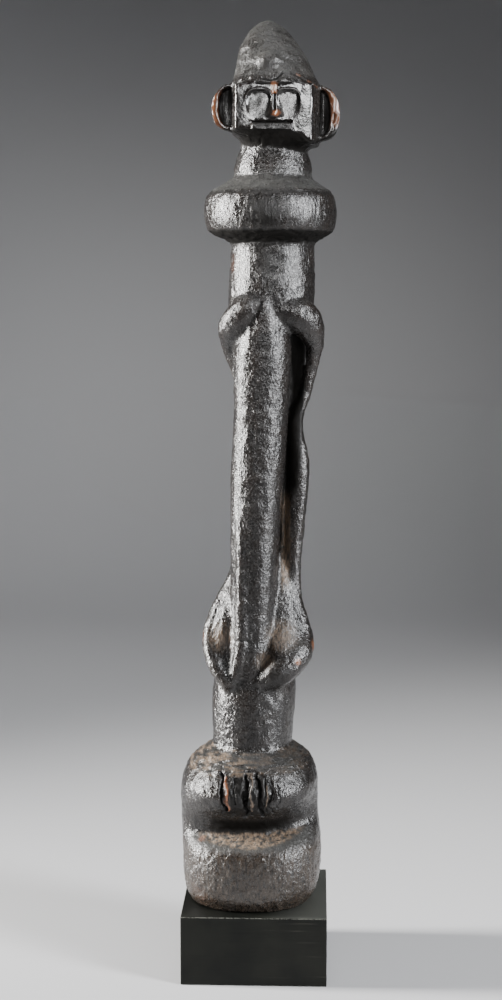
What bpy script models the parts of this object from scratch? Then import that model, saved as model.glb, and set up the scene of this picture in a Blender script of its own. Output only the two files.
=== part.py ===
"""A tall figure carved from one length of hardwood, standing on a square block plinth.

From the plinth up the figure is a foot like a short thick post with a deep cleft across its front, a single
round leg, a long body pillar with a thin arm behind each side, a drum chest, a wide wheel of a collar, a
short neck, and a head with a flat face, side flanges for ears and a pointed cap. The whole log leans a
little to one side. Metres, +Z up, -Y the front, and the origin in the middle of the plinth's underside.
"""

import math

import bmesh
import bpy
from mathutils import Matrix, Vector

# Driving dimensions of the two pieces
FIGURE_HEIGHT = 0.530
PLINTH_WIDTH = 0.088
PLINTH_DEPTH = 0.088
PLINTH_HEIGHT = 0.0426
PLINTH_EDGE = 0.0008
SEAT_GAP = 0.0003

# The carving is free form, so it is drawn in shares of the figure's own height: one UNIT is a 530th of it
UNIT = FIGURE_HEIGHT / 530

# How finely the blanks are drawn and the finished carving is skinned, in UNITs
BLANK_SIDES = 72
BLANK_STEP = 1.0
SKIN_CELL = 1.3
SKIN_SMOOTHING = 2
SKIN_TRIANGLES = 8600

# Where the middle of the log stands at each height, because it grew with a lean: (height, x)
LEAN = ((0, -3.0), (30, -2.4), (62, -4.0), (97, -2.2), (129, -1.3), (370, 9.1), (440, 9.8), (488, 11.6),
        (504, 9.8), (516, 7.6), (530, 6.8))

# Every blank is a stack of stations: (height, x off the lean, y, half width, half depth, squareness)
FOOT = ((-5, 0, 1, 35, 35, 2.2), (1, 0, 1, 38, 38, 2.3), (8, 0, 0.5, 41, 41, 2.4), (20, 0, 0, 42.4, 42.2, 2.4),
        (34, 0, 0, 42.6, 42.2, 2.4), (52, 0, 0, 42, 42, 2.4), (66, 0, -0.6, 42, 42.8, 2.4),
        (75, 0, -0.6, 41.6, 42.4, 2.4), (82, 0, -0.2, 39.6, 39.8, 2.3), (87, 0, 0, 36.8, 36.8, 2.2),
        (92, 0, 0, 31.5, 31, 2.1), (97, 0, 0, 23, 23, 2))
LEG = ((84, 0, 0, 24, 24, 2), (97, 0, 0, 24.3, 24.6, 2), (113, 0, 0, 25.2, 25, 2), (131, 0, 0, 25.6, 25, 2),
       (146, 0, 0.5, 23, 23.5, 2), (162, 0, 2, 19, 21, 2), (180, 0, 4, 14, 18, 2))
PILLAR = ((122, -2.5, -9, 12, 15, 2.4), (150, -3, -9, 13, 15.4, 2.4), (176, -3, -9, 13.4, 15.6, 2.4),
          (203, -2.9, -9, 14, 15.8, 2.3), (236, -3.4, -9, 15.2, 16.2, 2.2), (263, -3.4, -9, 16.1, 16.6, 2.2),
          (300, -3.2, -9.3, 16.4, 16.8, 2.2), (337, -3.5, -9.5, 17, 17, 2.2), (347, -3.3, -9.8, 15.6, 16.8, 2.1),
          (357, -2.9, -10.5, 11.4, 16.2, 2), (365, -3.2, -12, 6.8, 14.2, 2), (373, -3.6, -14, 2.6, 10.5, 2))
BACK = ((136, 0, 7, 18, 13, 2.4), (152, 0, 7, 21, 15, 2.6), (176, -0.5, 8, 18.5, 13.5, 2.6),
        (202, 0.2, 9.5, 16.4, 11, 2.6), (228, 0, 10.5, 16.4, 10.4, 2.6), (262, 0, 11, 18, 10, 2.6),
        (288, 0, 11.5, 17.2, 9.6, 2.6), (312, 0.4, 12.6, 19.4, 8.8, 2.6), (336, 0.2, 13, 22.8, 8.6, 2.5),
        (348, 0, 11, 24.4, 11, 2.3), (357, 0, 6, 25, 17.5, 2.2), (372, 0, 3, 24, 21, 2))
CHEST = ((347, 0, 7, 18, 15, 2), (353, 0, 4, 23, 20, 2), (360, 0, 1, 25.2, 24, 2), (370, 0, 0, 25.8, 25.4, 2),
         (390, 0, 0, 25.1, 25.1, 2), (402, 0, 0, 24.7, 24.8, 2), (412, 0, 0, 24, 24, 2))
COLLAR = ((398.6, 0.4, 0, 23.5, 23.5, 2), (400.6, 0.2, 0, 25.6, 25.6, 2), (403.4, -0.6, 0, 31.2, 31, 2),
          (406.3, -0.8, 0, 36.4, 36, 2), (410, -1, 0, 38.2, 38, 2), (417, -1.2, 0, 39.4, 39.2, 2),
          (424, -1.4, 0, 38.8, 38.6, 2), (428.4, -1.4, 0, 37.4, 37.2, 2), (430.8, -1.2, 0, 35.2, 35, 2),
          (434.6, -0.6, 0, 28.8, 28.8, 2), (439.6, 0, 0, 21.5, 21.5, 2))
NECK = ((430, 0, 0, 22, 22, 2), (438, 0, 0, 22.8, 22.8, 2), (443.5, 0, 0, 23.2, 23.1, 2), (449, 0, 0, 22, 22, 2),
        (455, -0.4, 0, 19.8, 20, 2), (461, -0.8, 0, 18.5, 19, 2), (468, -0.8, 0, 18.2, 19, 2))
HEAD = ((453, -0.6, 0, 17.4, 19.4, 2.2), (457.5, -0.2, -0.2, 19, 21, 2.4), (461, 0.2, -0.3, 21.4, 24, 3),
        (463.4, 0.4, -0.2, 25.2, 27.6, 3.8), (464.8, 0.4, 0, 26.2, 28.4, 4.2), (484, 0.1, 0, 25.8, 28.4, 4.2),
        (488.6, 0, 0.2, 26.2, 28.6, 4), (491.6, 0, 0.6, 26.4, 29.6, 3.2), (496, 0, 1.2, 24.6, 28.6, 2.7),
        (502, 0, 2.1, 22.4, 25.8, 2.4), (509, 0, 3, 19.9, 22.6, 2.3), (515.5, 0, 3.9, 16.8, 18.8, 2.2),
        (521.8, 0, 4.8, 12.6, 14, 2), (526.6, 0, 5.3, 8, 8.8, 2), (530, 0, 5.6, 1.4, 1.6, 2))
# The jaw hangs lower on one side: how much each height drops for a step to +X, (height, drop)
JAW_DROP = ((452, 0.15), (459, 0.24), (466, 0.27), (484, 0.12), (492, 0.05), (505, 0))

# The cleft across the front of the foot, deepest at its sill, with the foot's upper half swelling over it
CLEFT_DEPTH = ((31, 0), (35, 0.5), (38, 2), (40.4, 4.6), (42.2, 8.4), (43.4, 12.6), (44.6, 16.4), (48.5, 16.4),
               (53, 13.4), (58, 9), (62.5, 4.4), (66.5, 1.6), (72, 0))
CLEFT_HALF_ANGLE = math.radians(76)
CLEFT_MIDDLE = math.radians(-84)
CLEFT_RISE = 8

# Limbs are round rods of changing radius: (x, y, height, radius)
ARM_RIGHT_SIDE = ((10, -17, 364.5, 6.4), (15.4, -16.6, 362.4, 8.4), (21, -15.6, 360.4, 9.8), (26.6, -13.6, 357.4, 10.6),
                  (31.4, -10, 351.2, 9.4), (34.8, -1, 341, 5.8), (34, 2.5, 333, 4.8), (32.2, 4.5, 322, 4.2),
                  (29.2, 5, 309, 3.8), (24.8, 3.5, 297, 4.2), (24.4, 1.5, 286, 4.8), (26, 0, 268, 6.6),
                  (25.2, -0.5, 250, 6.4), (23.6, -0.5, 228, 5.6), (22.8, -1, 205, 4.9), (23.4, -2, 188, 5),
                  (26.2, -3, 174, 6), (27.2, -6, 161.5, 8.8), (23.4, -14, 153, 10), (15.4, -19.2, 146.2, 9.8),
                  (7.6, -19.4, 140.6, 8.2), (2, -18.4, 136.6, 6))
ARM_LEFT_SIDE = ((2.5, -19.5, 368, 5.4), (-4.4, -19.4, 362.5, 8), (-11, -16.5, 355.5, 8.6), (-15, -11.5, 349.4, 7.8),
                 (-16.6, -3.5, 342, 4.9), (-14.4, 1.5, 333, 4.2), (-11.6, 3.5, 325, 4), (-8.8, 4, 314, 4),
                 (-5.6, 4, 298, 4.6), (-6.6, 3, 272, 5.6), (-8.6, 2, 240, 5.6), (-9, 1, 212, 5.4),
                 (-12.6, -1, 199, 5.4), (-19.8, -4, 184, 5.6), (-25.6, -8.5, 170, 5.8), (-26.4, -12, 158, 5.8),
                 (-22.6, -17, 146.5, 5.6), (-16.6, -20, 138, 5.2))
RIDGE = ((-8, -19.6, 240, 3.4), (-7.6, -21, 205, 4.2), (-7.6, -21.6, 166, 4.6), (-9.6, -21, 150, 4.6),
         (-14, -20, 138, 4.2))
HIP = ((140, 13, -1, 14, 17, 2), (149, 15, -6, 16.6, 19, 2), (154, 15.6, -7.5, 16.4, 17.8, 2),
       (160, 15.4, -6.5, 16.2, 16.2, 2), (167, 14.8, -5, 15.6, 13.8, 2), (175, 13.8, -4, 14.6, 11.4, 2),
       (184, 12.6, -3, 12.6, 9.6, 2), (197, 12, -1.5, 10, 7.8, 2), (216, 11, 4, 6, 4, 2))
# A shallow floor lies between the left limb and the ridge
HOLLOW = ((138, -14, -11, 7, 10, 2), (148, -16.5, -10, 10.5, 10, 2), (160, -18.4, -9, 11.6, 9.8, 2),
          (171, -17.6, -8, 10.6, 10, 2), (184, -13.6, -6, 9, 10, 2), (200, -11, -1, 6, 8, 2))

# Face and ears, in the head's own place: x is taken from the middle of the face
FACE_MIDDLE = 11.6
SOCKETS = (((-8.6, -29.4, 477.6), (8.2, 4, 9.6)), ((7.4, -29.4, 477.8), (8, 4, 9.4)))
MOUTH_HALF_WIDTH = 12
MOUTH_LOW, MOUTH_HIGH = 464.4, 468.8
MOUTH_FRONT = -31
MOUTH_NOTCH = 2.4
NOSE = ((471.4, -0.2, -25, 6, 2, 2), (473.2, -0.2, -25, 6.2, 4.6, 2), (477, -0.3, -25, 3.9, 4.4, 2),
        (482, -0.4, -25, 2.5, 4, 2), (487, -0.5, -25, 2.3, 4, 2), (491, -0.6, -25, 3.4, 4.4, 2),
        (494, -0.6, -25, 2, 3, 2))
FOREHEAD = ((7.8, -18.6, 501), (9, 8.4, 9))
EAR_REACH = 11.8
EAR_THICKNESS = 13
EAR_FRONT = -17
EAR_RIM = 3.8
EAR_HOLLOW = 5
EAR_SQUARENESS = 2.8
EAR_LEFT = (-25, 478, 13.6)
EAR_RIGHT = (25.7, 474.3, 15.6)

# Checks that opened in the foot's swelling front: (width, depth) and the line each follows, (height, x)
CHECKS = ((2.4, 5, ((62, -15), (68, -16.4), (74, -18.8), (80, -17.6), (87, -19.6))),
          (3.4, 9, ((59, -5), (65, -3.6), (71, -6.2), (78, -4.4), (86, -6.6))),
          (2.6, 9, ((57, 5.6), (63, 3.2), (69, 4.4), (75, 1.6), (80, 3.4), (86, 1))),
          (2.4, 4, ((64, 12.2), (69, 9.4), (75, 10.8), (82, 8.4))))
CHECK_STEPS = 16

HARDWOOD = ("hardwood_dark_patina", (0.035, 0.028, 0.024), 0.42)
BLACKENED = ("blackened_wood", (0.022, 0.022, 0.021), 0.5)


def along(knots, place):
    """The numbers at a place on the smooth line through knots, whose first number is their place."""
    if place <= knots[0][0]:
        return knots[0][1:]
    if place >= knots[-1][0]:
        return knots[-1][1:]
    index = next(i for i in range(len(knots) - 1) if place <= knots[i + 1][0])
    start, end = knots[index], knots[index + 1]
    before = knots[index - 1] if index else start
    after = knots[index + 2] if index + 2 < len(knots) else end
    span = end[0] - start[0]
    t = (place - start[0]) / span
    ease_in, ease_out = t * (1 - t) ** 2 * span, t * t * (t - 1) * span
    share = t * t * (3 - 2 * t)
    values = []
    for b, s, e, a in zip(before[1:], start[1:], end[1:], after[1:]):
        slope_in = (e - b) / (end[0] - before[0])
        slope_out = (a - s) / (after[0] - start[0])
        values.append(s + (e - s) * share + slope_in * ease_in + slope_out * ease_out)
    return tuple(values)


def between(knots, place):
    """The one number at a place on the straight lines through knots of (place, number)."""
    for (low, first), (high, second) in zip(knots, knots[1:]):
        if place <= high:
            return first + (second - first) * max(0.0, place - low) / (high - low)
    return knots[-1][1]


def lean(height):
    return along(LEAN, height)[0]


def finish_mesh(name, mesh):
    """A new helper object from a bmesh drawn in UNITs, kept out of the finished part."""
    bmesh.ops.recalc_face_normals(mesh, faces=mesh.faces)
    mesh.transform(Matrix.Scale(UNIT, 4))
    data = bpy.data.meshes.new(name)
    mesh.to_mesh(data)
    mesh.free()
    return as_helper(bpy.data.objects.new(name, data))


def as_helper(obj):
    HELPERS.objects.link(obj)
    obj.hide_render = True
    obj.display_type = "WIRE"
    return obj


def blank(name, stations, carve=None, hang=None):
    """A closed loft through stations; carve(angle, height) cuts its side back, hang drops its +X side."""
    low, high = stations[0][0], stations[-1][0]
    rings = max(2, round((high - low) / BLANK_STEP))
    mesh = bmesh.new()
    loops = []
    for ring in range(rings + 1):
        height = low + (high - low) * ring / rings
        x, y, half_width, half_depth, squareness = along(stations, height)
        x += lean(height)
        drop = between(hang, height) if hang else 0
        loop = []
        for side in range(BLANK_SIDES):
            angle = 2 * math.pi * side / BLANK_SIDES
            c, s = math.cos(angle), math.sin(angle)
            reach = (abs(c) ** squareness + abs(s) ** squareness) ** (-1 / squareness)
            cut = carve(angle, height) if carve else 0
            out = (half_width * reach - cut) * c
            loop.append(mesh.verts.new((x + out, y + (half_depth * reach - cut) * s, height - drop * max(0.0, out))))
        loops.append(loop)
    for lower, upper in zip(loops, loops[1:]):
        for side in range(BLANK_SIDES):
            mesh.faces.new((lower[side - 1], lower[side], upper[side], upper[side - 1]))
    mesh.faces.new(loops[0])
    mesh.faces.new(loops[-1])
    return finish_mesh(name, mesh)


def limb(name, knots):
    """A round rod with ball ends through knots of (x, y, height, radius)."""
    numbered = tuple((i, *knot) for i, knot in enumerate(knots))
    steps = 5 * (len(knots) - 1)
    points = [along(numbered, i * (len(knots) - 1) / steps) for i in range(steps + 1)]
    curve = bpy.data.curves.new(name, "CURVE")
    curve.dimensions = "3D"
    curve.bevel_depth = UNIT
    curve.bevel_resolution = 6
    curve.use_fill_caps = True
    spline = curve.splines.new("POLY")
    spline.points.add(len(points) - 1)
    for point, (x, y, z, radius) in zip(spline.points, points):
        point.co = (x * UNIT, y * UNIT, z * UNIT, 1)
        point.radius = radius
    rod = bpy.data.objects.new(name + "_line", curve)
    HELPERS.objects.link(rod)
    bpy.context.view_layer.update()
    graph = bpy.context.evaluated_depsgraph_get()
    data = bpy.data.meshes.new_from_object(rod.evaluated_get(graph))
    bpy.data.objects.remove(rod)
    mesh = bmesh.new()
    mesh.from_mesh(data)
    bmesh.ops.remove_doubles(mesh, verts=mesh.verts, dist=UNIT * 1e-3)
    mesh.transform(Matrix.Scale(1 / UNIT, 4))
    for x, y, z, radius in (points[0], points[-1]):
        bmesh.ops.create_uvsphere(mesh, u_segments=16, v_segments=10, radius=radius,
                                  matrix=Matrix.Translation((x, y, z)))
    return finish_mesh(name, mesh)


def ball(name, centre, radii):
    mesh = bmesh.new()
    bmesh.ops.create_uvsphere(mesh, u_segments=24, v_segments=16, radius=1,
                              matrix=Matrix.Translation(centre) @ Matrix.Diagonal((*radii, 1)))
    return finish_mesh(name, mesh)


def block(name, low, high, rounding=0):
    """A box between two corners, in UNITs, its edges rounded if asked."""
    low, high = Vector(low), Vector(high)
    mesh = bmesh.new()
    bmesh.ops.create_cube(mesh, size=1, matrix=Matrix.Translation((low + high) / 2) @ Matrix.Diagonal((*(high - low), 1)))
    box = finish_mesh(name, mesh)
    if rounding:
        soften(box, rounding * UNIT, 3)
    return box


def soften(obj, width, segments):
    bevel = obj.modifiers.new("soft_edges", "BEVEL")
    bevel.width = width
    bevel.segments = segments
    bevel.limit_method = "ANGLE"


def half_disc(name, centre_x, centre_z, half_width, half_height, front, thickness):
    """A flat disc that faces the front, an ellipse above its middle and squarer below."""
    mesh = bmesh.new()
    place = Matrix.Translation((centre_x, front + thickness / 2, centre_z))
    shape = Matrix.Diagonal((half_width, thickness, half_height, 1)) @ Matrix.Rotation(math.radians(90), 4, "X")
    bmesh.ops.create_cone(mesh, cap_ends=True, segments=48, radius1=1, radius2=1, depth=1)
    for vertex in mesh.verts:
        if vertex.co.y > 0:
            continue
        reach = sum(abs(vertex.co[i]) ** EAR_SQUARENESS for i in (0, 1)) ** (-1 / EAR_SQUARENESS)
        vertex.co.xy *= reach
    mesh.transform(place @ shape)
    return finish_mesh(name, mesh)


def boolean(target, other, operation):
    step = target.modifiers.new(other.name, "BOOLEAN")
    step.operation = operation
    step.object = other


def cleft(angle, height):
    """How far the cleft cuts into the foot: full at the front, fading to nothing round the sides."""
    off = (angle - CLEFT_MIDDLE + math.pi) % (2 * math.pi) - math.pi
    share = max(-1.0, min(1.0, off / CLEFT_HALF_ANGLE))
    sill = CLEFT_RISE * max(0.0, share) ** 2
    return between(CLEFT_DEPTH, height - sill) * min(1.0, 1.25 * math.cos(share * math.pi / 2))


def check(name, width, depth, line):
    """A wedge that cuts one check into the foot's front, closing to nothing at both its ends."""
    mesh = bmesh.new()
    rings = []
    for step in range(CHECK_STEPS + 1):
        share = step / CHECK_STEPS
        height = line[0][0] + (line[-1][0] - line[0][0]) * share
        x = along(line, height)[0]
        front = along(FOOT, height)[3] - along(FOOT, height)[1]
        face = -math.sqrt(max(1.0, front * front - (x - lean(height)) ** 2)) + cleft(math.atan2(-front, x), height)
        half = width / 2 * (0.12 + 0.88 * math.sin(math.pi * share) ** 0.7)
        corners = ((-2 * half, -3), (2 * half, -3), (half, 0), (0.3 * half, depth), (-0.3 * half, depth), (-half, 0))
        rings.append([mesh.verts.new((x + across, face + inward, height)) for across, inward in corners])
    for lower, upper in zip(rings, rings[1:]):
        for side in range(len(lower)):
            mesh.faces.new((lower[side - 1], lower[side], upper[side], upper[side - 1]))
    mesh.faces.new(rings[0])
    mesh.faces.new(rings[-1])
    return finish_mesh(name, mesh)


def foot():
    """The foot with its cleft and the checks that have opened in its front."""
    made = blank("foot_blank", FOOT, carve=cleft)
    for index, (width, depth, line) in enumerate(CHECKS):
        boolean(made, check(f"check_{index}", width, depth, line), "DIFFERENCE")
    return made


def ear(name, off_middle, height, half_height, side):
    """A half-round flange on one side of the head, hollowed from the front inside a rim."""
    centre = FACE_MIDDLE + off_middle
    made = half_disc(name, centre, height, EAR_REACH, half_height, EAR_FRONT, EAR_THICKNESS)
    soften(made, 1.4 * UNIT, 2)
    hollow = half_disc(name + "_hollow", centre - side * 2.4, height, EAR_REACH - EAR_RIM + 2.4, half_height - 2,
                       EAR_FRONT - EAR_HOLLOW, 2 * EAR_HOLLOW)
    boolean(made, hollow, "DIFFERENCE")
    return made


def head():
    """The head's solid with two eye sockets and a notch over the mouth, then nose, lips, knob and ears."""
    made = blank("head_blank", HEAD, hang=JAW_DROP)
    for index, ((x, y, z), radii) in enumerate(SOCKETS):
        boolean(made, ball(f"socket_{index}", (FACE_MIDDLE + x, y, z), radii), "DIFFERENCE")
    left, right = FACE_MIDDLE - MOUTH_HALF_WIDTH - 1.2, FACE_MIDDLE + MOUTH_HALF_WIDTH - 1.2
    notch = block("mouth_notch", (left, -60, MOUTH_HIGH - 1), (right, MOUTH_FRONT + 4.6, MOUTH_HIGH + MOUTH_NOTCH), 0.6)
    boolean(made, notch, "DIFFERENCE")
    lips = block("mouth", (left, MOUTH_FRONT, MOUTH_LOW), (right, MOUTH_FRONT + 9, MOUTH_HIGH), 0.9)
    nose = blank("nose", tuple((z, x + FACE_MIDDLE - lean(z), *rest) for z, x, *rest in NOSE))
    return [made, lips, nose, ball("forehead", *FOREHEAD), ear("ear_left", *EAR_LEFT, -1), ear("ear_right", *EAR_RIGHT, 1)]


def body():
    """Everything between the foot and the head."""
    stacks = {"leg": LEG, "pillar": PILLAR, "back": BACK, "hip": HIP, "hollow": HOLLOW,
              "chest": CHEST, "collar": COLLAR, "neck": NECK}
    rods = {"arm_right": ARM_RIGHT_SIDE, "arm_left": ARM_LEFT_SIDE, "ridge": RIDGE}
    made = [blank(name, stations) for name, stations in stacks.items()]
    return made + [limb(name, knots) for name, knots in rods.items()]


def join_shapes(name, shapes):
    """One mesh that holds every shape as it stands after its cuts."""
    bpy.context.view_layer.update()
    graph = bpy.context.evaluated_depsgraph_get()
    mesh = bmesh.new()
    for shape in shapes:
        data = bpy.data.meshes.new_from_object(shape.evaluated_get(graph))
        mesh.from_mesh(data)
        bpy.data.meshes.remove(data)
    data = bpy.data.meshes.new(name)
    mesh.to_mesh(data)
    mesh.free()
    return bpy.data.objects.new(name, data)


def skin(obj):
    """Fuses the shapes under one surface, rounds it a little and thins it to its triangle count."""
    remesh = obj.modifiers.new("fuse", "REMESH")
    remesh.mode = "VOXEL"
    remesh.voxel_size = SKIN_CELL * UNIT
    smooth = obj.modifiers.new("round", "SMOOTH")
    smooth.factor = 0.5
    smooth.iterations = SKIN_SMOOTHING
    bpy.context.view_layer.update()
    fused = obj.evaluated_get(bpy.context.evaluated_depsgraph_get())
    quads = len(fused.data.polygons)
    thin = obj.modifiers.new("thin", "DECIMATE")
    thin.ratio = SKIN_TRIANGLES / (2 * quads)
    thin.use_collapse_triangulate = True


def wood(name, colour, roughness):
    made = bpy.data.materials.new(name)
    made.use_nodes = True
    shader = made.node_tree.nodes["Principled BSDF"]
    shader.inputs["Base Color"].default_value = (*colour, 1)
    shader.inputs["Roughness"].default_value = roughness
    shader.inputs["Metallic"].default_value = 0
    return made


def figure():
    """The carving: one solid, cut flat underneath, standing on the plinth."""
    made = join_shapes("figure", [foot(), *body(), *head()])
    PART.objects.link(made)
    skin(made)
    flat = block("underside_cut", (-80, -80, -40), (80, 80, 0))
    boolean(made, flat, "DIFFERENCE")
    made.data.materials.clear()
    made.data.materials.append(wood(*HARDWOOD))
    made.location = (0, 0, PLINTH_HEIGHT + SEAT_GAP)
    flat.location = made.location
    return made


def plinth():
    """A plain square block with its edges just broken."""
    bpy.ops.mesh.primitive_cube_add(size=1, location=(0, 0, PLINTH_HEIGHT / 2))
    made = bpy.context.active_object
    made.name = made.data.name = "plinth"
    made.data.transform(Matrix.Diagonal((PLINTH_WIDTH, PLINTH_DEPTH, PLINTH_HEIGHT, 1)))
    soften(made, PLINTH_EDGE, 2)
    made.data.materials.append(wood(*BLACKENED))
    for collection in list(made.users_collection):
        collection.objects.unlink(made)
    PART.objects.link(made)
    return made


for existing in list(bpy.data.objects):
    bpy.data.objects.remove(existing)
PART = bpy.data.collections.new("figure_on_plinth")
HELPERS = bpy.data.collections.new("blanks_and_cutters")
bpy.context.scene.collection.children.link(PART)
bpy.context.scene.collection.children.link(HELPERS)
plinth()
figure()
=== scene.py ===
"""A tall figure carved from one length of dark hardwood, standing on a square black block.

Metres, +Z up, -Y the front. Places on the carving are written in millimetres above the block's top, and left
and right are as seen from the front.
"""

import math

import bmesh
import bpy
import numpy as np
from mathutils import Matrix, Vector, noise


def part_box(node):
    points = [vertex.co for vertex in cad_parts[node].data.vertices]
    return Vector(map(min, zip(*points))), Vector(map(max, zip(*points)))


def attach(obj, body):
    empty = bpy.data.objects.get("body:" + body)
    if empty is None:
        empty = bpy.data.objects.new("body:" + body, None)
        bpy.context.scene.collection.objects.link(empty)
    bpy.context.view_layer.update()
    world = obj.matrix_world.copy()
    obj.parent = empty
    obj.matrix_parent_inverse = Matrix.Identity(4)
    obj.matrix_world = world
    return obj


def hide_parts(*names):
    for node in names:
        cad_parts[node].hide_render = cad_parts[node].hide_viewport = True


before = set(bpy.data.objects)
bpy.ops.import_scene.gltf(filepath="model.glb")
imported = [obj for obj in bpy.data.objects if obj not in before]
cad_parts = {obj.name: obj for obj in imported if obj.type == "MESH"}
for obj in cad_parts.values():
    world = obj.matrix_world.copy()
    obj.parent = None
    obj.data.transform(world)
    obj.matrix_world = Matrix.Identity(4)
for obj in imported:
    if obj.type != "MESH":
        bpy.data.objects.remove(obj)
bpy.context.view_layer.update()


# The figure
# One length of close-grained hardwood, hewn with an adze, finished with a knife and never sanded. Years of
# smoke, oil and handling left a near-black crust, glossy on the sides and dusty where things settle. Where
# hands and cloths rubbed, the red-brown wood shows through.

CARVING_CELL = 0.00086
CARVING_SMOOTHING = 4
CARVING_TRIANGLES = 196000
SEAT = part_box("figure")[0].z * 1000
# Where the middle of the log stands at each height: (height, x)
LEAN = (
    (0, -3), (62, -4), (97, -2.2), (129, -1.3), (370, 9.1), (440, 9.8), (488, 11.6), (504, 9.8), (530, 6.8))
# Two corners of each box whose faces are divided: the face, and the split front of the foot
FINER_BOXES = (((-13, -40, 456), (37, -18, 492)), ((-24, -50, 54), (18, -30, 90)))
# How far one seed's noise lies from the next, and what brings noise out to about -1 and 1
SEED_STEPS = (7.3, 3.1, 5.7)
NOISE_GAIN = 1.6


def work_out(piece):
    """Replaces a piece's mesh by the one that its modifiers give."""
    graph = bpy.context.evaluated_depsgraph_get()
    mesh = bpy.data.meshes.new_from_object(piece.evaluated_get(graph))
    piece.modifiers.clear()
    piece.data = mesh


def new_object(name, data):
    """An object in the scene that shows a mesh, a light or a camera."""
    made = bpy.data.objects.new(name, data)
    bpy.context.scene.collection.objects.link(made)
    return made


def ramp(values, low, high):
    """0 at low, 1 at high and a smooth rise between them; low may be the larger."""
    share = np.clip((values - low) / (high - low), 0, 1)
    return share * share * (3 - 2 * share)


class Surface:
    """The carving's points in millimetres, each with its normal, and marks that are cut into them."""

    def __init__(self, piece):
        self.mesh = piece.data
        self.count = len(self.mesh.vertices)
        flat = np.empty(self.count * 3)
        self.mesh.vertices.foreach_get("co", flat)
        self.points = flat.reshape(-1, 3) * 1000 - (0, 0, SEAT)
        ends = np.empty(len(self.mesh.edges) * 2, int)
        self.mesh.edges.foreach_get("vertices", ends)
        self.ends = ends.reshape(-1, 2)
        self.links = np.bincount(ends, minlength=self.count)[:, None]
        self.measure()

    def measure(self):
        """Writes the points back to the mesh and reads the normals that they give."""
        self.mesh.vertices.foreach_set("co", ((self.points + (0, 0, SEAT)) / 1000).ravel())
        self.mesh.update()
        normals = np.empty(self.count * 3)
        self.mesh.vertices.foreach_get("normal", normals)
        self.normals = normals.reshape(-1, 3)
        self.x, self.y, self.z = self.points.T
        self.out = self.x - np.interp(self.z, *zip(*LEAN))
        self.from_axis = np.hypot(self.out, self.y)
        self.front = ramp(self.normals[:, 1], 0.1, -0.4)

    def noise(self, across, along, seed, where=None):
        """Smooth noise from about -1 to 1, with one size across the grain and another along it."""
        places = (self.points if where is None else where) / (across, across, along)
        places = places + [seed * step for step in SEED_STEPS]
        return np.array([noise.noise(place) for place in places.tolist()]) * NOISE_GAIN

    def cut(self, depth):
        """Moves every point in along its normal by its depth."""
        self.points = self.points - self.normals * np.asarray(depth)[:, None]
        self.measure()

    def band(self, low, high, soft=2):
        """1 between two heights, with soft ends."""
        return ramp(self.z, low - soft, low + soft) * ramp(self.z, high + soft, high - soft)

    def oval(self, x, z, half_width, half_height, fullness):
        """0 at the middle of an oval drawn on the front and 1 on its edge, squarer with more fullness."""
        across = np.abs((self.x - x) / half_width) ** fullness
        along = np.abs((self.z - z) / half_height) ** fullness
        return (across + along) ** (1 / fullness)

    def near(self, *spots):
        """1 at spots of (x, y, height, radius, strength), falling smoothly to 0 at each radius."""
        most = np.zeros(self.count)
        for x, y, z, radius, strength in spots:
            away = np.linalg.norm(self.points - (x, y, z), axis=1)
            most = np.maximum(most, strength * ramp(away, radius, radius * 0.2))
        return most

    def line(self, knots, width, wander=0):
        """1 on a line of (x, height) knots drawn on the front, falling to 0 at its width."""
        nearest = np.full(self.count, 1e9)
        x = self.x + wander
        for (x0, z0), (x1, z1) in zip(knots, knots[1:]):
            run = np.array((x1 - x0, z1 - z0), float)
            from_start = np.stack((x - x0, self.z - z0), 1)
            share = np.clip(from_start @ run / (run @ run), 0, 1)
            nearest = np.minimum(nearest, np.linalg.norm(from_start - share[:, None] * run, axis=1))
        return ramp(nearest, width, 0) * self.front

    def averaged(self, values, rounds):
        """Values spread over their neighbours, round by round."""
        for _ in range(rounds):
            total = np.zeros_like(values)
            np.add.at(total, self.ends[:, 0], values[self.ends[:, 1]])
            np.add.at(total, self.ends[:, 1], values[self.ends[:, 0]])
            values = (values + total / self.links) / 2
        return values

    def keep(self, name, values):
        """Stores a value at each point, for the wood's material to read."""
        layer = self.mesh.attributes.new(name, "FLOAT", "POINT")
        layer.data.foreach_set("value", np.clip(values, 0, 1).astype(np.float32))


def divide(piece, low, high):
    """Divides the faces whose middles lie between two corners, in millimetres above the seat."""
    shape = bmesh.new()
    shape.from_mesh(piece.data)
    low, high = (Vector((x, y, z + SEAT)) / 1000 for x, y, z in (low, high))
    inside = [face for face in shape.faces
              if all(a < middle < b for a, middle, b in zip(low, face.calc_center_median(), high))]
    edges = list({edge for face in inside for edge in face.edges})
    bmesh.ops.subdivide_edges(shape, edges=edges, cuts=1, use_grid_fill=True)
    shape.to_mesh(piece.data)
    shape.free()


carving = new_object("carving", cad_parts["figure"].data.copy())
fuse = carving.modifiers.new("fuse", "REMESH")
fuse.mode = "VOXEL"
fuse.voxel_size = CARVING_CELL
ease = carving.modifiers.new("ease", "SMOOTH")
ease.factor = 0.5
ease.iterations = CARVING_SMOOTHING
work_out(carving)
for low, high in FINER_BOXES:
    divide(carving, low, high)
wood = Surface(carving)

# What a hewn log keeps all over: a slow waver, knife scallops, and pebbling of the crust
JAW_HEIGHT = 464
JAW_DROP = 7

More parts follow.
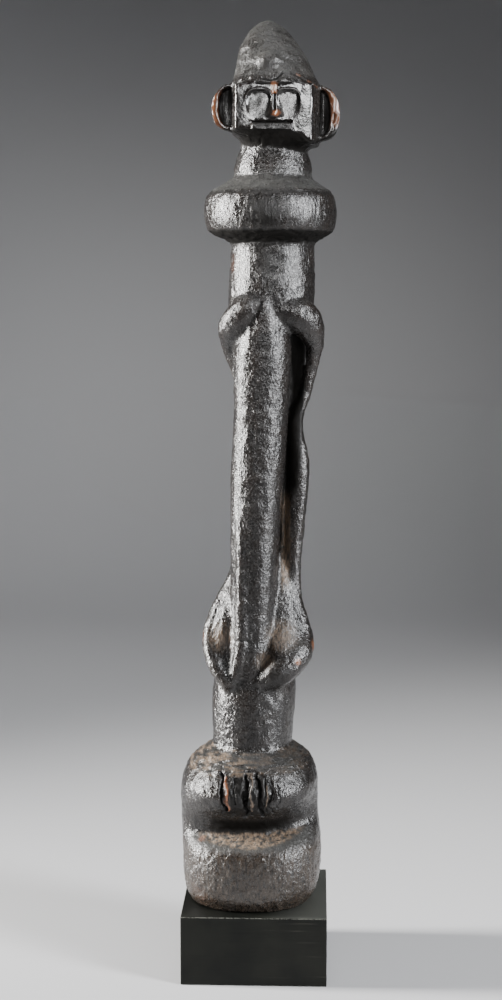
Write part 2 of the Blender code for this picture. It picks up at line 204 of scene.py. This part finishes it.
jaw_edge = JAW_HEIGHT - JAW_DROP * ramp(wood.x, 20, 33)
plate = ramp(wood.y, -21, -25) * ramp(wood.z - jaw_edge, -1, 1.5) * ramp(wood.z, 493, 489)
ears = np.maximum(ramp(wood.x, -13.5, -15), ramp(wood.x, 37, 38.5)) * wood.band(459, 492)
ear_fronts = ears * ramp(wood.y, -15.2, -16.4)
collar_side = wood.band(405, 428, 1.5) * ramp(wood.from_axis, 33, 36)
calm = 1 - 0.9 * plate
waver = wood.noise(17, 34, 1) * 0.3
scallops = np.abs(wood.noise(6, 9.5, 2)) * 0.3 * (1 - 0.8 * ear_fronts)
wood.cut(calm * (waver + scallops))
pebbles = wood.noise(2.1, 2.6, 3) * 0.14 + wood.noise(4, 4.6, 7) * 0.16
wood.cut(calm * (1 - collar_side) * pebbles)

# The face: a flat plate with two shallow lobes, a wedge of a nose between them, and a slab of a mouth below
PLATE_X = 11.9
PLATE_Y = -28.2
FLAT_TO_LEFT = 22.4
FLAT_TO_RIGHT = 20.2
EDGE_SLOPE = 0.9
# Each lobe: (x, height, half width, half height, depth)
LOBES = ((2.5, 477.7, 7.9, 9.2, 1.7), (18.9, 477.7, 7.3, 9.2, 1.4))
LOBE_FULLNESS = 3
BROW_HEIGHT = 0.35
NOSE_X = 11.3
NOSE_TOP = 490
NOSE_BASE = 472.4
NOSE_TOP_REACH = 1.6
NOSE_BASE_REACH = 6.6
NOSE_HEIGHT = 0.8
RIDGE_DEPTH = 0.7
MOUTH_LEFT = -1.6
MOUTH_RIGHT = 21.4
MOUTH_LOW = 464
MOUTH_TOP = 467.7
MOUTH_HEIGHT = 1.4
GAP_DEPTH = 1.6

away = np.abs(wood.x - PLATE_X)
flat_to = np.where(wood.x > PLATE_X, FLAT_TO_RIGHT, FLAT_TO_LEFT)
ground = PLATE_Y + 0.012 * away + EDGE_SLOPE * np.clip(away - flat_to, 0, 20)
depth = np.zeros(wood.count)
arcs = np.zeros(wood.count)
floors = np.zeros(wood.count)
for x, z, half_width, half_height, sunk_by in LOBES:
    within = 1 - wood.oval(x, z, half_width, half_height, LOBE_FULLNESS)
    floors = np.maximum(floors, ramp(within, 0.05, 0.4))
    arcs = np.maximum(arcs, ramp(np.abs(within + 0.04), 0.09, 0) * ramp(wood.z, 480, 485))
    wall = 0.4 - 0.24 * ramp(wood.z, 476, 484)
    deeper = 0.2 + 0.8 * ramp(wood.z, 471, 486)
    depth = np.maximum(depth, ramp(within, 0, wall) * sunk_by * deeper)
down = np.clip((NOSE_TOP - wood.z) / (NOSE_TOP - NOSE_BASE), 0, 1)
reach = NOSE_TOP_REACH + (NOSE_BASE_REACH - NOSE_TOP_REACH) * down ** 1.8
wedge = ramp(np.abs(wood.x - NOSE_X) / reach, 1, 0.05)
wedge = wedge * ramp(wood.z, NOSE_BASE - 1.4, NOSE_BASE) * ramp(wood.z, 492, 488)
depth = depth * (1 - wedge) - NOSE_HEIGHT * down * wedge - BROW_HEIGHT * arcs * (1 - wedge)
ridge_line = wood.line(((11.3, 484), (11.2, 480), (11.3, 475.5)), 1.2)
slab = ramp(wood.x, MOUTH_LEFT - 0.6, MOUTH_LEFT + 0.6) * ramp(wood.x, MOUTH_RIGHT + 0.6, MOUTH_RIGHT - 0.6)
gap = slab * ramp(wood.z, MOUTH_TOP - 0.1, MOUTH_TOP + 0.4) * ramp(wood.z, MOUTH_TOP + 1.7, MOUTH_TOP + 0.9)
lip = slab * ramp(wood.z, MOUTH_LOW - 0.6, MOUTH_LOW) * ramp(wood.z, MOUTH_TOP + 0.3, MOUTH_TOP - 0.3)
depth = depth * (1 - gap) + GAP_DEPTH * gap
lip_front = MOUTH_HEIGHT + 0.1 * wood.noise(3, 2, 21)
depth = depth * (1 - lip) - lip_front * lip + RIDGE_DEPTH * ridge_line
panel = (ramp(wood.x, -13.5, -11) * ramp(wood.x, 36, 33.6) * ramp(wood.z - jaw_edge, -0.4, 1.2)
         * ramp(wood.z, 491.3, 489.7) * ramp(wood.y, -19, -21.5))
knife_marks = 0.12 * wood.noise(4, 7, 22)
wood.points[:, 1] += panel * (ground + depth + knife_marks - wood.y)
wood.measure()

# The ears: a broad worn rim on the outside, and beside the cheek a hollow where the knife left upright grooves.
# Each ear's hollow: (x, height, half width, half height, side)
HOLLOWS = ((-13.4, 478, 8.2, 11.6, -1), (37.3, 474.3, 6.4, 13.6, 1))
HOLLOW_FULLNESS = 2.6
RIM_Y = -17.2
HOLLOW_Y = -12.6
GROOVE_DEPTH = 0.9

hollow = np.zeros(wood.count)
for x, z, half_width, half_height, side in HOLLOWS:
    share = wood.oval(x, z, half_width, half_height, HOLLOW_FULLNESS)
    hollow = np.maximum(hollow, ramp(share, 1, 0.88) * ramp(side * (wood.x - x), -4, -3))
forward = ramp(wood.y, -8, -10)
flange = ears * ramp(wood.normals[:, 1], 0.2, -0.2) * forward
wood.points[:, 1] += flange * ((1 - hollow) * (RIM_Y - wood.y) + hollow * (HOLLOW_Y - wood.y)) * forward
wood.measure()
rim = flange * (1 - hollow)
grooves = ramp(wood.noise(1.5, 26, 31), -0.1, 0.45)
wood.cut(ears * hollow * grooves * GROOVE_DEPTH)

# On the cap the knife went round in arcs, and the brim is a thin broken line
ARCS_X = 7
ARCS_HEIGHT = 484

from_x = wood.x - ARCS_X
from_z = wood.z - ARCS_HEIGHT
swirl = np.stack((np.hypot(from_x, from_z), wood.y * 0.1, np.arctan2(from_x, from_z) * 12), 1)
cap = ramp(wood.z, 493, 497)
wood.cut(cap * wood.noise(1.8, 6, 32, swirl) * 0.2)
brim = np.maximum(wood.line(((-14, 489.6), (-9, 491), (-3, 493)), 0.9),
                  wood.line(((21, 496), (28, 492.6), (35, 488)), 1))
under_knob = wood.line(((5, 492.5), (9, 491.6), (12, 492.4), (16, 496)), 1.1)
wood.cut(np.maximum(brim * 0.45, under_knob * 0.6))

# The collar: a crisp upper edge, short upright knife marks round its side, gouges under it
crease = wood.band(428.6, 429.8, 0.9) * ramp(wood.from_axis, 33, 35.5)
wood.cut(crease * (0.35 + 0.3 * wood.noise(4, 4, 44)))
upright_marks = ramp(wood.noise(1.5, 7, 41), -0.1, 0.6) * 0.16
wood.cut(collar_side * (upright_marks + 0.12 * wood.noise(3, 6, 42)))
underside = ramp(wood.normals[:, 2], -0.35, -0.7) * wood.band(396, 408)
gouges = ramp(wood.noise(5, 1.2, 43), 0, 0.5)
wood.cut(underside * gouges * 0.5)

# Long drying checks that follow the grain, thin and broken
fissures = ramp(np.abs(wood.noise(5.2, 60, 4)), 0.05, 0) * ramp(wood.noise(16, 26, 5), 0.1, 0.5)
wood.cut(calm * (1 - ears) * fissures * 0.35)

# The foot's front has split along three dark checks, the left one with a red edge beside it. Finer checks and
# pale raised lines lie among them.
wander = wood.noise(4, 6, 51) * 1.1 + wood.noise(1.4, 2.4, 50) * 0.3
dark_checks = np.maximum.reduce([
    wood.line(((-5.2, 85), (-4, 77), (-5.6, 70), (-3.6, 63), (-5, 59)), 1.5, wander),
    wood.line(((1.4, 86), (3.4, 78), (2, 72), (4, 66), (4.6, 60)), 1.6, wander),
    wood.line(((-19.4, 86), (-18.6, 79), (-19.6, 72), (-17.2, 64)), 1.4, wander)])
fine_checks = np.maximum.reduce([
    wood.line(((9.6, 82), (10.6, 75), (9.2, 68), (12, 62)), 0.9, wander),
    wood.line(((6.4, 84), (7.4, 77), (6, 70), (8, 63)), 0.8, wander * 0.7),
    wood.line(((-11.8, 84), (-12.4, 77), (-11.2, 69)), 0.7, wander),
    wood.line(((14.2, 80), (15.4, 73), (14.4, 66)), 0.8, wander * 1.3)])
red_edge = wood.line(((-17.2, 84), (-16.2, 77), (-16.8, 71), (-15.6, 64)), 1.7, wander) * 0.9
pale_lines = np.maximum(wood.line(((-1.8, 85), (-0.6, 78), (-2.4, 71), (-0.6, 64)), 0.9, wander),
                        wood.line(((8, 80), (8.8, 73), (7.4, 66)), 0.8, wander))
split = ramp(wood.x + wander, -21, -18) * ramp(wood.x - wander, 12, 7)
split = split * wood.band(60, 84, 3) * wood.front
torn = split * (0.5 + 0.25 * wood.noise(1.6, 5, 63))
wood.cut(dark_checks ** 0.7 * 1.9 + fine_checks * 0.7 - pale_lines * 0.5 + torn)

# Under the split, crumbs lie along the sill of the cleft, and the block below it is wrinkled. Over it, the
# foot's shoulder is crumbled too.
sill = wood.band(37.5, 47.5, 1.6) * ramp(wood.y, -10, -20) * ramp(wood.normals[:, 2], 0.15, 0.5)
inner_sill = sill * ramp(wood.from_axis, 39, 35.5)
crumbs = ramp(wood.noise(3, 2, 52), 0, 0.5) * 0.5 + np.abs(wood.noise(1.5, 1.2, 53)) * 0.3
wood.cut(inner_sill * crumbs)
low_block = ramp(wood.z, 42, 36) * ramp(wood.y, 8, -8)
wrinkles = ramp(np.abs(wood.noise(2.6, 1.9, 54)), 0.28, 0) * 0.22
wood.cut(low_block * (wrinkles + 0.12 * wood.noise(1.9, 1.5, 55)))
shoulder = wood.band(84, 98, 3) * ramp(wood.normals[:, 2], 0.2, 0.6)
wood.cut(shoulder * (wood.noise(4, 1.6, 56) * 0.35 + np.abs(wood.noise(2.2, 1.2, 57)) * 0.3))

# The strip on the left is chipped across in two places, the right hand is cut with slanting strokes, and the
# leg's left side has a coarse crust
SLANT = ((0.62, 0, 0.78), (0, 1, 0), (-0.78, 0, 0.62))

chips = np.maximum(wood.line(((-13, 209.5), (-8, 208.4), (-3, 209.6)), 1),
                   wood.line(((-12, 164), (-8, 165), (-3.5, 164.4)), 1))
wood.cut(chips * 0.9)
paw = wood.near((20, -24, 148, 17, 1), (8, -24, 141, 12, 1)) * wood.front
wood.cut(paw * ramp(wood.noise(1.5, 12, 61, wood.points @ np.array(SLANT)), 0.1, 0.6) * 0.35)
leg_crust = wood.band(98, 136) * ramp(wood.out, -6, -10) * wood.front
wood.cut(leg_crust * np.abs(wood.noise(2.4, 2.8, 62)) * 0.5)

# Red-brown wood where it was rubbed
RUBBED_SPOTS = (
    (11, -29, 489, 3.4, 1), (11.2, -29, 485.6, 2.8, 1), (12.2, -30, 473.4, 3.8, 1),
    (8.4, -30, 473.6, 2.6, 0.5), (15.6, -29, 473.6, 2.6, 0.45), (5, -27, 480, 4, 0.12),
    (33, 2, 273, 5, 0.5), (26.5, -25, 152, 4, 0.75), (35, -10, 159, 6, 0.55), (-32, -10, 164, 8, 0.4),
    (41, -2, 347, 8, 0.3), (27, 1, 232, 5, 0.25), (-13, -12, 388, 12, 0.25), (-29, -26, 10, 16, 0.25),
    (-32, -26, 43, 5, 0.5), (32, -22, 16, 9, 0.12), (-26, -26, 418, 8, 0.2))

rubbed_brim = wood.line(((22, 496.5), (29, 492.4), (35.5, 488.6)), 1.5)
rubbed_brim = rubbed_brim * ramp(wood.noise(3, 3, 24), -0.6, 0.3) * 0.5
rubbed_rims = rim * 0.5 * ramp(np.abs(wood.z - 477), 14, 7)
wood.keep("worn", np.maximum.reduce([wood.near(*RUBBED_SPOTS), rubbed_rims, red_edge, rubbed_brim]))

# Dry tan wood where the crust fell away
BARE_SPOTS = (
    (-20, -16, 165, 12, 0.35), (16, -18, 166, 13, 0.35), (6, -25, 152, 8, 0.3), (-1, -26, 466, 4, 0.1))

streak = ramp(wood.x, 14.5, 16.5) * ramp(wood.x, 21.5, 19) * wood.band(196, 250, 5) * wood.front
bare_crumbs = inner_sill * ramp(wood.noise(2.6, 2, 58), -0.7, 0.3)
bare_shoulder = shoulder * (0.12 + 0.45 * ramp(wood.out, 10, -15)) * ramp(wood.noise(9, 1.2, 59), -0.3, 0.6)
wood.keep("bare", np.maximum.reduce([
    bare_crumbs, low_block * 0.09, pale_lines * 0.6, bare_shoulder, streak * 0.6, wood.near(*BARE_SPOTS)]))

# Where the fine grain runs in strokes, and where handling made the wood smooth
wood.keep("combed", np.maximum.reduce([
    collar_side, ears, wood.band(374, 398), wood.band(98, 136) * 0.5, paw]))
wood.keep("plate", np.maximum.reduce([plate, rim * 0.8, lip]))

# Dust on the sill, the collar's top, the cap, the lobes' floors and the low block
collar_dust = wood.band(430, 441) * (0.6 + 0.3 * wood.noise(9, 2, 66))
cap_dust = cap * (0.6 + 0.4 * wood.noise(2, 6, 67, swirl))
block_dust = low_block * ramp(wood.noise(7, 7, 65), -0.6, 0.5) * 0.25
wood.keep("dusty", np.maximum.reduce([
    sill * 0.8, collar_dust, cap_dust, wood.near((24, -30, 86, 15, 0.45)), floors * (1 - wedge) * 0.7,
    block_dust, wood.near((19, -20, 168, 14, 0.5))]))

# Painted shade: the colour is darkened where the carving lies in shade: in the checks, the cleft, the recess
# beside the pillar and the ears' hollows, under the collar, jaw and brim, along the mouth and at the spots
# listed here
PAINTED_SHADE_SPOTS = (
    (7, -29, 501, 6, 0.75), (4, -22, 345, 8, 0.4), (12, -28, 142, 15, 0.35),
    (6, -40, 418, 20, 0.5), (6, -26, 390, 16, 0.35))

recess = ramp(wood.y, -10, -6) * wood.front * ramp(wood.out, 11, 14)
recess = recess * wood.band(252, 352, 6) * ramp(wood.out, 24, 20)
cleft_ends = ramp(np.abs(wood.x + 2 + 4 * wood.noise(6, 4, 64)), 34, 14)
cleft = wood.band(47, 56, 3) * wood.front * cleft_ends
jaw = wood.band(450, 465, 0.8) * ramp(wood.normals[:, 2], -0.05, -0.22) * wood.front
brows = ramp(depth, 1, 1.8) * ramp(wood.z, 481.5, 484.5) * panel
wood.keep("painted_shade", (1 - pale_lines) * np.maximum.reduce([
    dark_checks, fine_checks * 0.7, split * (1 - red_edge) * 0.65, cleft, recess, chips * 0.7,
    gap * 0.8, lip * 0.6, ridge_line, brows * 0.25, jaw, hollow * ears * (0.2 + 0.75 * grooves),
    brim * 0.6, under_knob, underside, crease * 0.6, wood.near(*PAINTED_SHADE_SPOTS)]))

# How far each point stands out of the ground around it, or lies sunk in it
around = wood.averaged(wood.points, 24)
relief = np.einsum("ij,ij->i", wood.points - around, wood.normals)
wood.keep("raised", ramp(relief, 0.05, 0.55))
wood.keep("sunk", ramp(relief, -0.1, -0.9))

thin = carving.modifiers.new("thin", "DECIMATE")
triangles = sum(len(face.vertices) - 2 for face in carving.data.polygons)
thin.ratio = min(1.0, CARVING_TRIANGLES / triangles)
work_out(carving)
carving.data.polygons.foreach_set("use_smooth", [True] * len(carving.data.polygons))


class Link:
    """One value in a material. Maths on it adds Math nodes, and node() adds any other node."""

    def __init__(self, tree, socket=None):
        self.tree = tree
        self.socket = socket

    def node(self, kind, settings=None, sockets=None, output=0):
        """The output of a new node, with its settings and then its sockets set or linked."""
        made = self.tree.nodes.new("ShaderNode" + kind)
        for name, value in (settings or {}).items():
            setattr(made, name, value)
        for name, value in (sockets or {}).items():
            if isinstance(value, Link):
                self.tree.links.new(value.socket, made.inputs[name])
            else:
                made.inputs[name].default_value = value
        return Link(self.tree, made.outputs[output])

    def maths(self, operation, *values):
        return self.node("Math", {"operation": operation}, dict(enumerate(values)))

    def __add__(self, other):
        return self.maths("ADD", self, other)

    def __sub__(self, other):
        return self.maths("SUBTRACT", self, other)

    def __rsub__(self, other):
        return self.maths("SUBTRACT", other, self)

    def __mul__(self, other):
        return self.maths("MULTIPLY", self, other)

    __radd__, __rmul__ = __add__, __mul__

    def rise(self, low, high):
        """0 at low and 1 at high, eased at both ends; low may be the larger."""
        start, end, first, last = (low, high, 0, 1) if low < high else (high, low, 1, 0)
        ends = {"Value": self, "From Min": start, "From Max": end, "To Min": first, "To Max": last}
        return self.node("MapRange", {"interpolation_type": "SMOOTHSTEP"}, ends)

    def over(self, colour, below):
        """A colour laid over another where this value is 1. A Mix node takes colours at sockets 6 and 7."""
        return self.node("Mix", {"data_type": "RGBA"}, {0: self, 6: below, 7: colour}, 2)

    def part(self, axis):
        """One part of a direction or a place: X, Y or Z."""
        return self.node("SeparateXYZ", None, {0: self}, axis)

    def stretched(self, x, y, z):
        """These places, for marks that are drawn out in each direction by its own factor."""
        return self.node("VectorMath", {"operation": "MULTIPLY"}, {0: self, 1: (1 / x, 1 / y, 1 / z)})

    def speckle(self, size, detail, roughness=0.55):
        """Noise from 0 to 1 over these places, of a size in metres."""
        sockets = {"Vector": self, "Scale": 1 / size, "Detail": detail, "Roughness": roughness}
        return self.node("TexNoise", None, sockets)


def new_material(name):
    """A new material, its shader, and the places on the piece that wears it."""
    material = bpy.data.materials.new(name)
    material.use_nodes = True
    tree = material.node_tree
    return material, tree.nodes["Principled BSDF"], Link(tree).node("TexCoord", output="Object")


def feed(shader, **sockets):
    """Links or sets a shader's sockets by name, with an underscore for a space."""
    for name, value in sockets.items():
        socket = shader.inputs[name.replace("_", " ")]
        if isinstance(value, Link):
            value.tree.links.new(value.socket, socket)
        else:
            socket.default_value = value


CRUST = (0.0065, 0.0057, 0.0054, 1)
SMOKED = (0.012, 0.0094, 0.008, 1)
HIGH_SPOTS = (0.036, 0.025, 0.02, 1)
DUST = (0.074, 0.075, 0.071, 1)
# Painted highlights: the pale specks where the crinkled crust would catch the light
PAINTED_GLINTS = (0.15, 0.145, 0.138, 1)
TAN = (0.235, 0.162, 0.105, 1)
RUBBED = (0.2, 0.072, 0.03, 1)
# Painted shade: the near-black laid where the carving lies in shade
PAINTED_SHADE_BLACK = (0.004, 0.0035, 0.003, 1)

patina, shader, place = new_material("smoked_wood")
mottle = place.speckle(0.011, 4)
fibres = place.stretched(1, 1, 5).speckle(0.0012, 3, 0.6)
grit = place.speckle(0.0008, 2, 0.6)
crinkle = place.stretched(1, 1, 1.25).speckle(0.0014, 2, 0.6)
raised, sunk, plate, worn, bare, combed, dusty, painted_shade = (
    place.node("Attribute", {"attribute_name": name}, output="Fac")
    for name in ("raised", "sunk", "plate", "worn", "bare", "combed", "dusty", "painted_shade"))
upward = place.node("NewGeometry", output="Normal").part("Z")

tone = mottle.rise(0.42, 0.66) * 0.55 + fibres.rise(0.5, 0.72) * 0.45
colour = tone.over(SMOKED, CRUST)
colour = (raised * grit.rise(0.35, 0.6) * 0.3).over(HIGH_SPOTS, colour)
lying = place.maths("MINIMUM", upward.rise(0.55, 1) * (1 - plate) * 0.6 + dusty * 0.6, 1)
settled = lying * (0.3 + grit.rise(0.35, 0.7) * 0.7)
colour = (settled * 0.85).over(DUST, colour)
colour = (sunk * grit.rise(0.4, 0.65) * 0.3 * (1 - painted_shade) * (1 - plate)).over(DUST, colour)
# Painted highlights: pale specks where the crinkled crust would catch the light
colour = (crinkle.rise(0.58, 0.7) * (1 - plate) * (1 - painted_shade) * 0.2).over(PAINTED_GLINTS, colour)
colour = (bare * fibres.rise(0.32, 0.6)).over(TAN, colour)
colour = (worn * (crinkle * 0.6 + worn * 0.6).rise(0.3, 0.7)).over(RUBBED, colour)
# Painted shade: near-black where the carving lies in shade
colour = (painted_shade * 0.9).over(PAINTED_SHADE_BLACK, colour)

# Smooth where handled, matt where dusty or bare and where shade is painted
gloss = (0.2 - fibres.rise(0.35, 0.7) * 0.05 + crinkle.rise(0.54, 0.36) * (0.24 - plate * 0.2)
         + settled * 0.4 + bare * 0.3 + sunk * 0.15 + painted_shade * 0.25 - plate * 0.05)
skin = crinkle * (1 - combed * 0.8) * 0.8 + fibres * (0.15 + combed * 0.45) + grit * 0.3
bump = place.node("Bump", None, {"Strength": 1 - plate * 0.8, "Distance": 0.0006, "Height": skin})
feed(shader, Base_Color=colour, Roughness=gloss, Normal=bump, Specular_IOR_Level=0.55)
oiled = Link(place.tree, shader.outputs[0])
# Painted shade: a dull black shader mixed in by the same mask, so these places reflect little light
painted_shade_shader = place.node("BsdfPrincipled", None, {"Base Color": PAINTED_SHADE_BLACK, "Roughness": 0.9, "Specular IOR Level": 0.05})
shade = place.node("MixShader", None, {0: painted_shade * 0.88, 1: oiled, 2: painted_shade_shader})
place.tree.links.new(shade.socket, place.tree.nodes["Material Output"].inputs["Surface"])
carving.data.materials.clear()
carving.data.materials.append(patina)
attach(carving, "root")
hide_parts("figure")


# The plinth
# A square block of plain wood, sawn and planed, stained black and waxed to a satin. Its edges are just
# broken, and saw lines still show faintly along its sides.

BROKEN_EDGE = 0.0007
EDGE_FACE_AREA = 1e-4
# Heights between which the rubbed stain at each edge sets in
LOWER_EDGE = (0.0008, 0.0002)
UPPER_EDGE = (0.0417, 0.0424)
STAIN = (0.0045, 0.005, 0.0042, 1)
THIN_STAIN = (0.0095, 0.01, 0.0078, 1)
SCRATCHED = (0.085, 0.08, 0.066, 1)
# Painted reflection: the colour that lightens the top's right side
PAINTED_SHEEN_COLOUR = (0.13, 0.135, 0.12, 1)
RUBBED_EDGE = (0.16, 0.16, 0.14, 1)

low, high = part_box("plinth")
block_mesh = bpy.data.meshes.new("block")
shape = bmesh.new()
size = Matrix.Diagonal((*(high - low), 1))
bmesh.ops.create_cube(shape, size=1, matrix=Matrix.Translation((low + high) / 2) @ size)
bmesh.ops.bevel(shape, geom=shape.edges[:], offset=BROKEN_EDGE, segments=3, profile=0.6, affect="EDGES")
shape.to_mesh(block_mesh)
shape.free()
block = new_object("block", block_mesh)
for face in block.data.polygons:
    face.use_smooth = face.area < EDGE_FACE_AREA

stain, shader, place = new_material("black_stain")
saw_lines = place.stretched(60, 60, 1).speckle(0.0011, 3)
cloud = place.speckle(0.03, 4)
grit = place.speckle(0.0009, 2)
upward = place.node("NewGeometry", output="Normal").part("Z")
across = place.part("X")
height = place.part("Z")
colour = cloud.rise(0.35, 0.7).over(THIN_STAIN, STAIN)
scratches = saw_lines.rise(0.64, 0.74) * across.rise(-0.01, 0.04) * place.speckle(0.02, 1).rise(0.4, 0.6)
colour = (scratches * 0.7).over(SCRATCHED, colour)
# Painted reflection: the top is lighter towards the right, where it would reflect the lights
painted_sheen = upward.rise(0.8, 1) * across.rise(0, 0.04) * (0.4 + cloud * 0.6)
colour = (painted_sheen * 0.8).over(PAINTED_SHEEN_COLOUR, colour)
edges = place.maths("MAXIMUM", height.rise(*LOWER_EDGE), height.rise(*UPPER_EDGE) * upward.rise(0.95, 0.6))
colour = (edges * grit.rise(0.42, 0.55) * 0.8).over(RUBBED_EDGE, colour)
satin = 0.38 + cloud.rise(0.3, 0.7) * 0.14
bump = place.node("Bump", None, {"Strength": 0.35, "Distance": 0.0003, "Height": saw_lines})
feed(shader, Base_Color=colour, Roughness=satin, Normal=bump, Specular_IOR_Level=0.16)
block.data.materials.append(stain)
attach(block, "root")
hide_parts("plinth")


# The studio
# A sweep of pale paper that bends up behind the figure, a tall soft box on each side, a faint one in front
# that is aimed at the head, and a broad one above.

SWEEP_WIDTH = 6
SWEEP_FRONT = -3
SWEEP_BACK = 2.2
SWEEP_HEIGHT = 3.4
SWEEP_BEND = 1.1
BEND_STEPS = 16
PAPER = (0.6, 0.6, 0.61, 1)
ROOM_LIGHT = (0.6, 0.62, 0.65, 1)
ROOM_STRENGTH = 0.05

profile = [(SWEEP_FRONT, 0)]
for step in range(BEND_STEPS + 1):
    turn = math.pi / 2 * step / BEND_STEPS
    y = SWEEP_BACK - SWEEP_BEND + SWEEP_BEND * math.sin(turn)
    z = SWEEP_BEND - SWEEP_BEND * math.cos(turn)
    profile.append((y, z))
profile.append((SWEEP_BACK, SWEEP_HEIGHT))
corners = [(side * SWEEP_WIDTH / 2, y, z) for y, z in profile for side in (-1, 1)]
sweep_mesh = bpy.data.meshes.new("sweep")
sweep_mesh.from_pydata(corners, [], [(i, i + 1, i + 3, i + 2) for i in range(0, len(corners) - 2, 2)])
sweep = new_object("sweep", sweep_mesh)
for face in sweep.data.polygons:
    face.use_smooth = True
paper, shader, _ = new_material("pale_paper")
feed(shader, Base_Color=PAPER, Roughness=0.95)
sweep.data.materials.append(paper)

MIDDLE = Vector((0.004, 0, 0.3))
HEAD = Vector((0.011, 0, 0.54))


def soft_box(name, turn, distance, height, size, watts, spread, tint=(1, 1, 1), aim=MIDDLE):
    """A rectangular soft light aimed at the figure, turned round it in degrees from the front toward +X."""
    light = bpy.data.lights.new(name, "AREA")
    light.shape = "RECTANGLE"
    light.size, light.size_y = size
    light.energy = watts
    light.spread = math.radians(spread)
    light.color = tint
    turn = math.radians(turn)
    lamp = new_object(name, light)
    lamp.location = (distance * math.sin(turn), -distance * math.cos(turn), height)
    lamp.rotation_euler = (aim - lamp.location).to_track_quat("-Z", "Y").to_euler()


soft_box("left_box", turn=-90, distance=1, height=0.42, size=(0.13, 1.3), watts=22, spread=75,
         tint=(1, 0.985, 0.96))
soft_box("right_box", turn=62, distance=1.3, height=0.6, size=(0.32, 1.3), watts=11.5, spread=75,
         tint=(0.96, 0.975, 1))
soft_box("front_box", turn=6, distance=1.6, height=0.86, size=(0.9, 0.42), watts=0.95, spread=24, aim=HEAD)
soft_box("top_box", turn=10, distance=0.5, height=2.3, size=(1.2, 1.2), watts=5, spread=100)

world = bpy.data.worlds.new("room")
world.use_nodes = True
world.node_tree.nodes["Background"].inputs["Color"].default_value = ROOM_LIGHT
world.node_tree.nodes["Background"].inputs["Strength"].default_value = ROOM_STRENGTH
bpy.context.scene.world = world

# The camera stands a metre off, above the figure's middle, and looks a little down
CAMERA_DISTANCE = 1.0305
CAMERA_HEIGHT = 0.4213
CAMERA_TURN = math.radians(2)
CAMERA_PITCH = math.radians(7.3)
CAMERA_YAW = math.radians(-0.173)
LENS = 61.74
SENSOR_WIDTH = 36

lens = bpy.data.cameras.new("camera")
lens.lens = LENS
lens.sensor_width = SENSOR_WIDTH
camera = new_object("camera", lens)
camera_x = CAMERA_DISTANCE * math.sin(CAMERA_TURN)
camera_y = -CAMERA_DISTANCE * math.cos(CAMERA_TURN)
camera.location = (camera_x, camera_y, CAMERA_HEIGHT)
camera.rotation_euler = (math.pi / 2 - CAMERA_PITCH, 0, CAMERA_TURN - CAMERA_YAW)
bpy.context.scene.camera = camera
